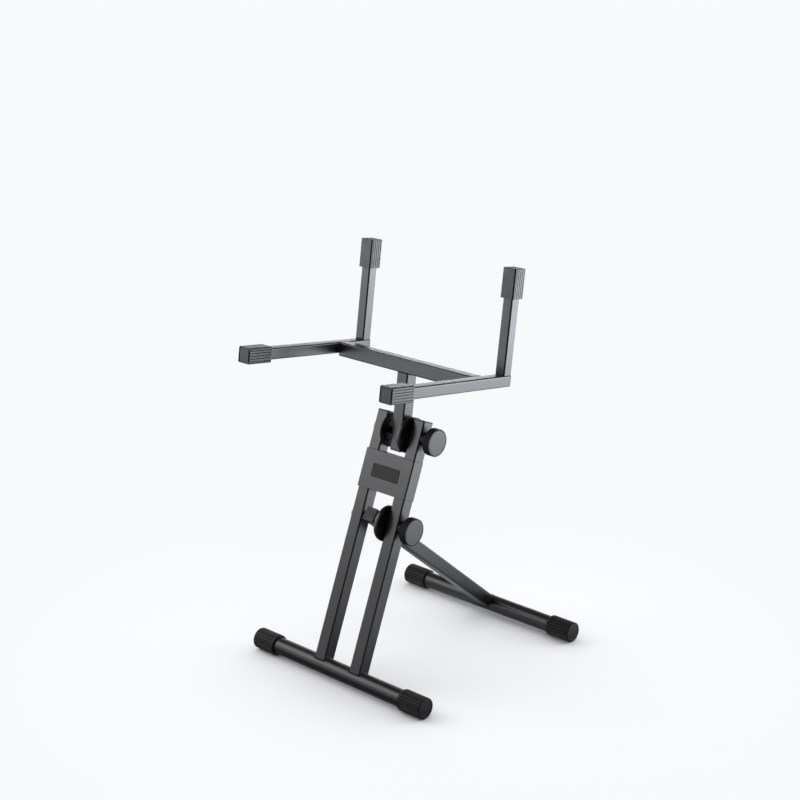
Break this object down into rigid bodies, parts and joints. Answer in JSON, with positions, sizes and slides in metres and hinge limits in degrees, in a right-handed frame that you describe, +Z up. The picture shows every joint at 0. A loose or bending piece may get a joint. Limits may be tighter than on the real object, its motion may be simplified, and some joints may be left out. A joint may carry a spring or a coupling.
{
  "type": "folding amp stand",
  "caption": "Folding tilt-back stand for a guitar amplifier: square uprights on round feet, a folding rear leg, and a tilting head with arms and back posts set by clamping knobs.",
  "frame": {"origin": "on the floor, under the middle of the stand's bounding box", "axes": "+Z up, +Y to the rear, +X to the right of someone facing the front; the pivots lie along X"},
  "size_m": [0.422, 0.4978, 0.754],
  "materials": {
    "steel_paint": "satin black powder coat, fine texture",
    "foot_rubber": "matte, grooved",
    "gloss_black": "glossy moulded",
    "knob_plastic": "fine matte",
    "knob_grey": "satin",
    "plug_plastic": "matte moulded",
    "zinc": "zinc plated",
    "brass": "turned"
  },
  "bodies": {
    "base": {"front_foot_tube": "steel_paint", "front_left_cap": "foot_rubber", "front_right_cap": "foot_rubber", "left_upright": "steel_paint", "right_upright": "steel_paint", "left_upright_plug": "plug_plastic", "right_upright_plug": "plug_plastic", "foot_welds": "steel_paint", "bracket": "steel_paint", "blank_plate": "gloss_black", "lower_bolt": "zinc", "upper_bolt": "zinc", "head_washers": "zinc", "knob_washers": "zinc", "lower_bush": "plug_plastic", "upper_sleeve": "plug_plastic", "upper_side_disc": "gloss_black", "lower_fixed_clutch": "gloss_black", "upper_fixed_clutch": "gloss_black", "lower_clutch_spring": "zinc", "upper_clutch_spring": "zinc"},
    "rear_leg": {"leg_tube": "steel_paint", "leg_plug": "plug_plastic", "rear_foot_tube": "steel_paint", "rear_left_cap": "foot_rubber", "rear_right_cap": "foot_rubber", "leg_welds": "steel_paint", "lower_moving_clutch": "steel_paint", "lower_clutch_screws": "zinc"},
    "head": {"neck_tube": "steel_paint", "neck_plug": "plug_plastic", "crossbar": "steel_paint", "left_arm": "steel_paint", "right_arm": "steel_paint", "left_arm_cap": "foot_rubber", "right_arm_cap": "foot_rubber", "left_arm_plug": "plug_plastic", "right_arm_plug": "plug_plastic", "left_post": "steel_paint", "right_post": "steel_paint", "left_post_cap": "foot_rubber", "right_post_cap": "foot_rubber", "head_welds": "steel_paint", "upper_moving_clutch": "steel_paint", "upper_clutch_screws": "zinc"},
    "lower_knob": {"lower_knob": "knob_plastic", "lower_knob_face": "knob_grey", "lower_knob_insert": "brass"},
    "upper_knob": {"upper_knob": "knob_plastic", "upper_knob_face": "knob_grey", "upper_knob_insert": "brass"}
  },
  "joints": [
    {"name": "leg_fold", "type": "hinge", "parent": "base", "child": "rear_leg", "pos_m": [0, -0.08558, 0.2844], "axis": [1, 0, 0], "range_deg": [-65.5, 30]},
    {"name": "head_tilt", "type": "hinge", "parent": "base", "child": "head", "pos_m": [0, -0.02529, 0.43746], "axis": [1, 0, 0], "range_deg": [-103.5, 76.5]},
    {"name": "lower_knob_turn", "type": "hinge", "parent": "base", "child": "lower_knob", "pos_m": [0.0732, -0.08558, 0.2844], "axis": [1, 0, 0], "range_deg": [0, 540]},
    {"name": "upper_knob_turn", "type": "hinge", "parent": "base", "child": "upper_knob", "pos_m": [0.0732, -0.02529, 0.43746], "axis": [1, 0, 0], "range_deg": [0, 540]}
  ]
}
